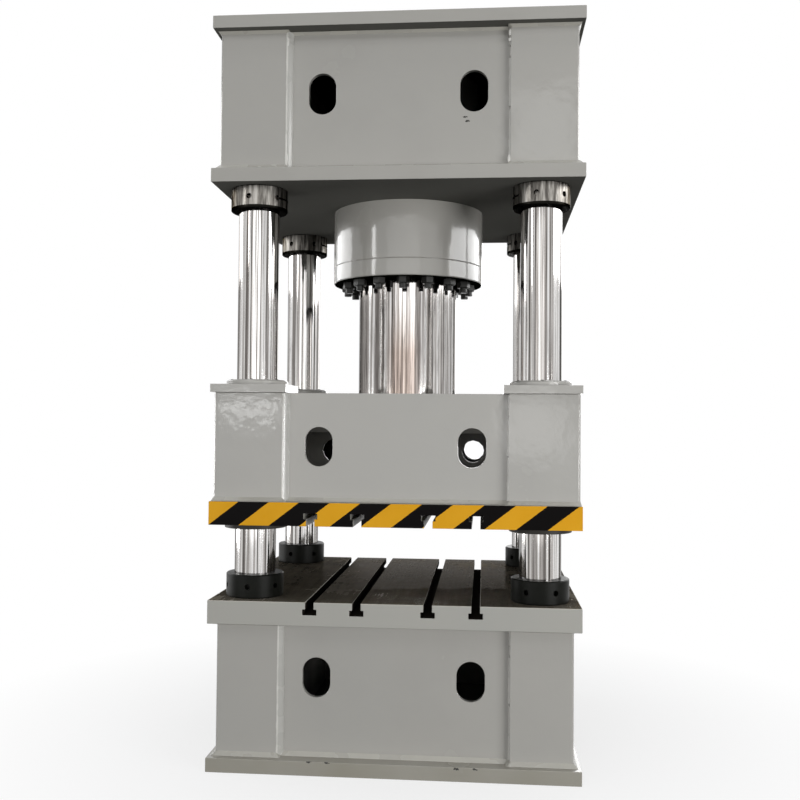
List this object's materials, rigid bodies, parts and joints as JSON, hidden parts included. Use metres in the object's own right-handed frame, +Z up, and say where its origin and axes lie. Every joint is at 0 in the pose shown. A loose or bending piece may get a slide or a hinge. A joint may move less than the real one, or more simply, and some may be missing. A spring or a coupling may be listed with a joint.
{
  "type": "hydraulic press",
  "caption": "Column-guided hydraulic press with a slotted bed table, a slide driven by a ram, and a crown that carries the main cylinder.",
  "frame": {"origin": "centre of the base plate's underside, on the floor", "axes": "+Z up along the slide's travel, -Y towards a person who stands before the press, +X to that person's right"},
  "size_m": [1.6, 1.45, 3.245],
  "materials": {
    "grey_enamel": "glossy light grey enamel",
    "hazard_yellow": "glossy yellow paint, with black stripes on the plate's front and rear edges",
    "hard_chrome": "ground hard chrome",
    "turned_steel": "turned bright steel",
    "machined_table": "machined, lightly oiled",
    "black_oxide": "black oxide",
    "cast_iron": "dark machined"
  },
  "bodies": {
    "frame": {"base_plate": "grey_enamel", "bed_front_wall": "grey_enamel", "bed_lock_nut_front_left": "black_oxide", "bed_lock_nut_front_right": "black_oxide", "bed_lock_nut_rear_left": "black_oxide", "bed_lock_nut_rear_right": "black_oxide", "bed_rear_wall": "grey_enamel", "bed_rib_left": "grey_enamel", "bed_rib_right": "grey_enamel", "bed_side_left": "grey_enamel", "bed_side_right": "grey_enamel", "bed_table": "machined_table", "bed_tie_nut_front_left": "black_oxide", "bed_tie_nut_front_right": "black_oxide", "bed_tie_nut_rear_left": "black_oxide", "bed_tie_nut_rear_right": "black_oxide", "column_front_left": "hard_chrome", "column_front_right": "hard_chrome", "column_rear_left": "hard_chrome", "column_rear_right": "hard_chrome", "crown_bottom_plate": "grey_enamel", "crown_front_wall": "grey_enamel", "crown_lock_nut_front_left": "turned_steel", "crown_lock_nut_front_right": "turned_steel", "crown_lock_nut_rear_left": "turned_steel", "crown_lock_nut_rear_right": "turned_steel", "crown_rear_wall": "grey_enamel", "crown_rib_left": "grey_enamel", "crown_rib_right": "grey_enamel", "crown_side_left": "grey_enamel", "crown_side_right": "grey_enamel", "crown_tie_nut_front_left": "black_oxide", "crown_tie_nut_front_right": "black_oxide", "crown_tie_nut_rear_left": "black_oxide", "crown_tie_nut_rear_right": "black_oxide", "crown_top_plate": "grey_enamel", "cylinder_barrel": "grey_enamel", "cylinder_gland": "grey_enamel", "cylinder_ring_nut": "black_oxide"},
    "slide": {"guide_bush_front_left": "cast_iron", "guide_bush_front_right": "cast_iron", "guide_bush_rear_left": "cast_iron", "guide_bush_rear_right": "cast_iron", "ram": "hard_chrome", "ram_clamp_ring": "black_oxide", "slide_cross_rib_front": "grey_enamel", "slide_cross_rib_rear": "grey_enamel", "slide_front_wall": "grey_enamel", "slide_plate": "hazard_yellow", "slide_rear_wall": "grey_enamel", "slide_rib_left": "grey_enamel", "slide_rib_right": "grey_enamel", "slide_seat_plate": "grey_enamel", "slide_side_left": "grey_enamel", "slide_side_right": "grey_enamel", "wiper_ring_front_left": "grey_enamel", "wiper_ring_front_right": "grey_enamel", "wiper_ring_rear_left": "grey_enamel", "wiper_ring_rear_right": "grey_enamel"}
  },
  "joints": [
    {"name": "slide_travel", "type": "slide", "parent": "frame", "child": "slide", "axis": [0, 0, 1], "range_m": [-0.18, 0.42]}
  ]
}
